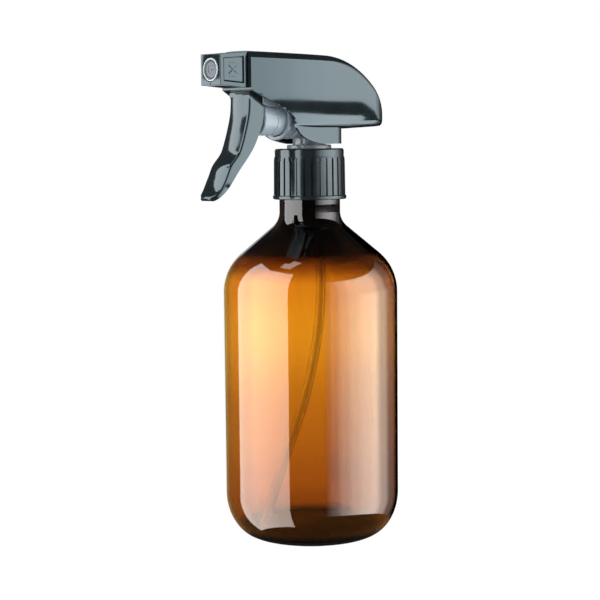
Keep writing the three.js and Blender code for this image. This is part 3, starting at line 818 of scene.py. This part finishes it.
blackGloss = makePlastic("blackGloss", {
    "Fine": 2200, "Broad": 90, "Least": 0.065, "Most": 0.1, "bump": 0.08,
    "dark": (0.0045, 0.0065, 0.008), "light": (0.008, 0.011, 0.013),
    "shader": {"IOR": 1.52, "Specular Tint": (0.7, 0.92, 1.0, 1)},
})
blackCap = makePlastic("blackCap", {
    "Fine": 2600, "Broad": 120, "Least": 0.1, "Most": 0.15, "bump": 0.12,
    "dark": (0.005, 0.0068, 0.008), "light": (0.009, 0.012, 0.014),
    "shader": {"IOR": 1.52, "Specular Tint": (0.78, 0.95, 1.0, 1)},
})
greyInsert = makePlastic("greyInsert", {
    "Fine": 3000, "Broad": 400, "Least": 0.3, "Most": 0.42, "bump": 0.2,
    "dark": (0.035, 0.045, 0.052), "light": (0.055, 0.066, 0.075), "shader": {"IOR": 1.5},
    # painted highlight: the paler ring stands in for light caught on the insert's rounded rim
    "rim": {"height": 197.7, "reach": (3.9, 4.05), "color": (0.3, 0.34, 0.36)},
})
naturalPlastic = makePlastic("naturalPlastic", {
    "Fine": 1800, "Broad": 150, "Least": 0.18, "Most": 0.3, "bump": 0.15,
    "dark": (0.12, 0.16, 0.19), "light": (0.2, 0.245, 0.275),
    "shader": {"IOR": 1.5, "Subsurface Weight": 0.35, "Subsurface Scale": 0.002,
               "Transmission Weight": 0.25},
})
softWhite = makePlastic("softWhite", {
    "Fine": 1500, "Broad": 150, "Least": 0.3, "Most": 0.42, "bump": 0.15,
    "dark": (0.14, 0.18, 0.21), "light": (0.21, 0.255, 0.285),
    "shader": {"IOR": 1.48, "Subsurface Weight": 0.3, "Subsurface Scale": 0.002},
})
tubePlastic = makePlastic("tubePlastic", {
    "Fine": 1500, "Broad": 200, "Least": 0.16, "Most": 0.26, "bump": 0.1,
    "dark": (0.74, 0.72, 0.68), "light": (0.84, 0.82, 0.78),
    "shader": {"IOR": 1.49, "Transmission Weight": 0.92},
})
springSteel = makePlastic("springSteel", {
    "Fine": 3000, "Broad": 300, "Least": 0.2, "Most": 0.34, "bump": 0.2,
    "dark": (0.5, 0.51, 0.52), "light": (0.66, 0.67, 0.68), "shader": {"Metallic": 1.0},
})
ballGlass = makePlastic("ballGlass", {
    "Fine": 900, "Broad": 200, "Least": 0.02, "Most": 0.05, "bump": 0.02,
    "dark": (0.86, 0.92, 0.9), "light": (0.9, 0.95, 0.93),
    "shader": {"IOR": 1.5, "Transmission Weight": 1.0},
})

amberLook = {
    "span": 0.1615,
    # the amber is the bottle's own colour; its change with height is painted light and shade: near-black
    # at the base and from the shoulder up, palest through the middle
    "stops": [
        (0.0, (0.012, 0.006, 0.004)), (0.02, (0.03, 0.011, 0.005)), (0.04, (0.4, 0.16, 0.03)),
        (0.1, (0.56, 0.25, 0.045)), (0.3, (0.7, 0.36, 0.06)), (0.55, (0.9, 0.53, 0.08)),
        (0.68, (0.86, 0.46, 0.065)), (0.73, (0.34, 0.13, 0.025)), (0.76, (0.05, 0.022, 0.01)),
        (0.8, (0.02, 0.012, 0.008)), (1.0, (0.014, 0.009, 0.007)),
    ],
    "skin": {"Fine": 500, "Broad": 35, "Least": 0.015, "Most": 0.045},
    "mottle": 0.05, "ior": 1.5,
}


def makeAmber(look):
    material = bpy.data.materials.new("amberPet")
    material.use_nodes = True
    tree = material.node_tree
    shader = tree.nodes["Principled BSDF"]
    place = addNode(tree, "ShaderNodeTexCoord")
    apart = addNode(tree, "ShaderNodeSeparateXYZ")
    scale = addNode(tree, "ShaderNodeMath", operation="DIVIDE")
    scale.inputs[1].default_value = look["span"]
    ramp = addNode(tree, "ShaderNodeValToRGB")
    # painted light and shade: the colour is read off the height
    fillRamp(ramp, look["stops"])
    skinNode = addNode(tree, "ShaderNodeGroup", node_tree=grain)
    tree.links.new(place.outputs["Object"], skinNode.inputs["Place"])
    for label, value in look["skin"].items():
        skinNode.inputs[label].default_value = value
    mottle = addNode(tree, "ShaderNodeMix", data_type="RGBA", blend_type="MULTIPLY")
    mottle.inputs["Factor"].default_value = look["mottle"]
    tree.links.new(place.outputs["Object"], apart.inputs["Vector"])
    tree.links.new(apart.outputs["Z"], scale.inputs[0])
    tree.links.new(scale.outputs[0], ramp.inputs["Fac"])
    tree.links.new(ramp.outputs["Color"], mottle.inputs["A"])
    tree.links.new(skinNode.outputs["Mottle"], mottle.inputs["B"])
    tree.links.new(mottle.outputs["Result"], shader.inputs["Base Color"])
    tree.links.new(skinNode.outputs["Roughness"], shader.inputs["Roughness"])
    shader.inputs["IOR"].default_value = look["ior"]
    shader.inputs["Transmission Weight"].default_value = 1.0
    return material


amberPet = makeAmber(amberLook)
amberBasePaintedShade = makePlastic("amberBasePaintedShade", {
    "Fine": 900, "Broad": 90, "Least": 0.25, "Most": 0.4, "bump": 0.1,
    "dark": (0.006, 0.005, 0.0045), "light": (0.011, 0.0085, 0.007), "shader": {"IOR": 1.15},
})
print("finishes made")


def fit(piece, material, slot, body, *replaced):
    piece.data.materials.clear()
    piece.data.materials.append(material)
    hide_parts(*replaced)
    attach(piece, body)


fit(bottle, amberPet, "amber_pet", "bottle", "bottle")
bottle.data.materials.append(amberBasePaintedShade)
for face in bottle.data.polygons:  # painted shade: the thick middle of the base gets a near-black finish where it reads dark
    reach = math.hypot(face.center.x, face.center.y)
    if reach < bottleShape["domeAcross"] * mm and 0.0015 < face.center.z < 0.0095:
        face.material_index = 1
fit(collarCap, blackCap, "black_gloss", "collar", "collar")
fit(shroudShell, blackGloss, "black_gloss", "pump", "shroud")
fit(nozzleCap, blackGloss, "black_gloss", "nozzle", "nozzle")
fit(sprayInsert, greyInsert, "natural_pp", "nozzle", "orifice_insert")
fit(triggerLever, blackGloss, "black_gloss", "trigger", "trigger")
fit(pumpHousing, naturalPlastic, "natural_pp", "pump", "pump_body")
fit(pistonCup, softWhite, "soft_seal", "piston", "piston")
fit(returnSpring, springSteel, "spring_steel", "pump", "piston_spring")
fit(valveSpring, springSteel, "spring_steel", "pump", "outlet_spring")
fit(dipTube, tubePlastic, "natural_pp", "pump", "dip_tube")
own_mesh(returnSpring)
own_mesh(valveSpring)
inside = {"gasket": softWhite, "intake_plug": naturalPlastic, "inlet_ball": ballGlass,
          "outlet_ball": ballGlass, "swirl_plug": softWhite}
for name, material in inside.items():  # these CAD solids are hidden inside and stay
    nodes[name].data.materials.clear()
    nodes[name].data.materials.append(material)
print("pieces fitted")

lightPlan = {  # angles round the object, then how bright the card is from its start to its end
    "left": {"span": (119.5, 199), "reach": 0.62, "rise": (-0.7, 0.8),
             "tone": [(0, 5.2), (0.17, 5.4), (0.4, 6.5), (0.6, 6.4), (0.8, 5.9), (1, 5.6)]},
    "rightHigh": {"span": (246, 373), "reach": 1.6, "rise": (0.085, 1.05),
                  "tone": [(0, 0), (0.08, 1.2), (0.19, 3.4), (0.3, 5.4), (0.42, 6.2), (0.54, 6),
                           (0.68, 3), (0.82, 0.5), (1, 0)]},
    "rightLow": {"span": (246, 373), "reach": 0.32, "rise": (-0.14, 0.113),
                 "tone": [(0, 0.4), (0.08, 1.4), (0.19, 3.7), (0.3, 5.8), (0.42, 7.2), (0.54, 7.3),
                          (0.68, 2.9), (0.82, 0.4), (1, 0)]},
    "back": {"span": (47.3, 53), "reach": 1.3, "rise": (-0.3, 0.5), "tone": [(0, 1), (1, 1)]},
    "flag": {"span": (18, 47.3), "reach": 1.3, "rise": (-0.5, 1.0),
             "tone": [(0, 0), (0.75, 0), (0.87, 0.12), (0.92, 0.22), (0.96, 0.42), (1, 1)]},
    "farFlag": {"span": (53, 66), "reach": 1.3, "rise": (-0.5, 1.0),
                "tone": [(0, 1), (0.1, 0.93), (0.25, 0.78), (1, 0.7)]},
}
overheadPlan = {"size": (0.3, 0.3), "place": (-0.35, 0.1, 0.95), "strength": 4.0}
smallFlags = {  # black cards close to the head, seen only in its gloss: place, then size
    "nozzleFlag": {"place": (-0.0796, 0.0297, 0.2015), "turn": 132, "size": (0.012, 0.0125)},
}
floorPlan = {"glow": 0.9, "reach": 0.62}
cameraPlan = {
    "lens": 98.8, "side": 42, "reach": 0.7, "height": 0.17, "pitch": 5.61, "roll": 0.55, "pan": 0.313,
}


def lightCard(name, span, reach, rise):  # an upright card bent round the object
    clearSelection()
    (start, end), (low, high) = span, rise
    steps = 48
    bpy.ops.mesh.primitive_grid_add(x_subdivisions=steps, y_subdivisions=1, size=2)
    card = bpy.context.object
    card.name = name
    for vertex in card.data.vertices:
        turn = math.radians(start + (end - start) * (vertex.co.x + 1) / 2)
        rise = low + (high - low) * (vertex.co.y + 1) / 2
        vertex.co = (reach * math.cos(turn), reach * math.sin(turn), rise)
    card.visible_camera = False
    card.visible_shadow = False
    return card


def glow(name, span, tone):  # the card's own light, toned from one side to the other
    material = bpy.data.materials.new(name)
    material.use_nodes = True
    tree = material.node_tree
    tree.nodes.clear()
    output = addNode(tree, "ShaderNodeOutputMaterial")
    light = addNode(tree, "ShaderNodeEmission")
    tree.links.new(light.outputs[0], output.inputs["Surface"])
    middle = (span[0] + span[1]) / 2
    half = (span[1] - span[0]) / 2
    place = addNode(tree, "ShaderNodeTexCoord")
    shift = addNode(tree, "ShaderNodeVectorRotate", rotation_type="Z_AXIS")
    shift.inputs["Angle"].default_value = math.radians(-middle)
    apart = addNode(tree, "ShaderNodeSeparateXYZ")
    turn = addNode(tree, "ShaderNodeMath", operation="ARCTAN2")
    share = addNode(tree, "ShaderNodeMapRange")
    share.inputs["From Min"].default_value = math.radians(-half)
    share.inputs["From Max"].default_value = math.radians(half)
    ramp = addNode(tree, "ShaderNodeValToRGB")
    brightest = max(max(level for _, level in tone), 0.01)
    fillRamp(ramp, [(position, [level / brightest] * 3) for position, level in tone])
    light.inputs["Strength"].default_value = brightest
    tree.links.new(place.outputs["Object"], shift.inputs["Vector"])
    tree.links.new(shift.outputs["Vector"], apart.inputs["Vector"])
    tree.links.new(apart.outputs["Y"], turn.inputs[0])
    tree.links.new(apart.outputs["X"], turn.inputs[1])
    tree.links.new(turn.outputs[0], share.inputs["Value"])
    tree.links.new(share.outputs["Result"], ramp.inputs["Fac"])
    tree.links.new(ramp.outputs["Color"], light.inputs["Color"])
    return material


for name, plan in lightPlan.items():
    card = lightCard(name + "Card", plan["span"], plan["reach"], plan["rise"])
    card.data.materials.append(glow(name + "Glow", plan["span"], plan["tone"]))


def overheadLight(plan):
    clearSelection()
    bpy.ops.mesh.primitive_plane_add(size=1, location=plan["place"])
    card = bpy.context.object
    card.name = "overheadCard"
    card.scale = (*plan["size"], 1)
    card.rotation_euler = (0, math.atan2(plan["place"][0], plan["place"][2] - 0.17), 0)
    card.visible_camera = False
    material = bpy.data.materials.new("overheadGlow")
    material.use_nodes = True
    tree = material.node_tree
    tree.nodes.clear()
    output = addNode(tree, "ShaderNodeOutputMaterial")
    light = addNode(tree, "ShaderNodeEmission")
    light.inputs["Strength"].default_value = plan["strength"]
    tree.links.new(light.outputs[0], output.inputs["Surface"])
    card.data.materials.append(material)


overheadLight(overheadPlan)


def smallFlag(name, plan):
    clearSelection()
    bpy.ops.mesh.primitive_plane_add(size=1, location=plan["place"])
    card = bpy.context.object
    card.name = name
    card.scale = (plan["size"][1], plan["size"][0], 1)
    card.rotation_euler = (0, math.radians(90), math.radians(plan["turn"]))
    card.visible_camera = False
    card.visible_shadow = False
    card.visible_diffuse = False
    card.data.materials.append(glow(name + "Black", (0, 1), [(0, 0), (1, 0)]))


for name, plan in smallFlags.items():
    smallFlag(name, plan)


def makeFloor(plan):
    clearSelection()
    bpy.ops.mesh.primitive_circle_add(vertices=96, radius=30, fill_type="NGON")
    floor = bpy.context.object
    floor.name = "floor"
    material = bpy.data.materials.new("paleFloor")
    material.use_nodes = True
    tree = material.node_tree
    tree.nodes.clear()
    output = addNode(tree, "ShaderNodeOutputMaterial")
    seen = addNode(tree, "ShaderNodeEmission")
    seen.inputs["Strength"].default_value = 1.0
    lit = addNode(tree, "ShaderNodeEmission")
    matte = addNode(tree, "ShaderNodeBsdfDiffuse")
    matte.inputs["Color"].default_value = (0.5, 0.5, 0.5, 1)
    both = addNode(tree, "ShaderNodeAddShader")
    rays = addNode(tree, "ShaderNodeLightPath")
    pick = addNode(tree, "ShaderNodeMixShader")
    place = addNode(tree, "ShaderNodeTexCoord")
    reach = addNode(tree, "ShaderNodeVectorMath", operation="LENGTH")
    fade = addNode(tree, "ShaderNodeMapRange")
    fade.inputs["From Min"].default_value = plan["reach"]
    fade.inputs["From Max"].default_value = plan["reach"] + 0.2
    fade.inputs["To Min"].default_value = plan["glow"]
    fade.inputs["To Max"].default_value = 0.08
    tree.links.new(place.outputs["Object"], reach.inputs[0])
    tree.links.new(reach.outputs["Value"], fade.inputs["Value"])
    tree.links.new(fade.outputs["Result"], lit.inputs["Strength"])
    tree.links.new(lit.outputs[0], both.inputs[0])
    tree.links.new(matte.outputs[0], both.inputs[1])
    tree.links.new(rays.outputs["Is Camera Ray"], pick.inputs["Fac"])
    tree.links.new(both.outputs[0], pick.inputs[1])
    tree.links.new(seen.outputs[0], pick.inputs[2])
    tree.links.new(pick.outputs[0], output.inputs["Surface"])
    floor.data.materials.append(material)
    floor.visible_glossy = False
    floor.visible_transmission = False


def makeWorld():
    world = bpy.data.worlds.new("studio")
    bpy.context.scene.world = world
    world.use_nodes = True
    tree = world.node_tree
    shader = tree.nodes["Background"]
    rays = addNode(tree, "ShaderNodeLightPath")
    clear = addNode(tree, "ShaderNodeMath", operation="MAXIMUM")
    glossy = addNode(tree, "ShaderNodeMapRange")
    glossy.inputs["To Min"].default_value = 0.55
    glossy.inputs["To Max"].default_value = 0.03
    total = addNode(tree, "ShaderNodeMix", data_type="FLOAT")
    tree.links.new(rays.outputs["Is Camera Ray"], clear.inputs[0])
    tree.links.new(rays.outputs["Is Transmission Ray"], clear.inputs[1])
    tree.links.new(rays.outputs["Is Glossy Ray"], glossy.inputs["Value"])
    tree.links.new(clear.outputs[0], total.inputs["Factor"])
    tree.links.new(glossy.outputs["Result"], total.inputs["A"])
    total.inputs["B"].default_value = 1.0
    tree.links.new(total.outputs["Result"], shader.inputs["Strength"])
    shader.inputs["Color"].default_value = (1, 1, 1, 1)


def makeCamera(plan):
    data = bpy.data.cameras.new("studioCamera")
    camera = bpy.data.objects.new("studioCamera", data)
    bpy.context.scene.collection.objects.link(camera)
    bpy.context.scene.camera = camera
    data.lens = plan["lens"]
    data.sensor_width = 36
    turn, reach = math.radians(plan["side"]), plan["reach"]
    camera.location = (-math.sin(turn) * reach, -math.cos(turn) * reach, plan["height"])
    pitch, roll, pan = [math.radians(plan[key]) for key in ("pitch", "roll", "pan")]
    camera.rotation_mode = "XYZ"
    camera.rotation_euler = (math.pi / 2 - pitch, roll, -turn + pan)
    data.clip_start = 0.01
    data.clip_end = 100


makeFloor(floorPlan)
makeWorld()
makeCamera(cameraPlan)
bpy.context.scene.view_settings.view_transform = "Standard"
print("stage made")
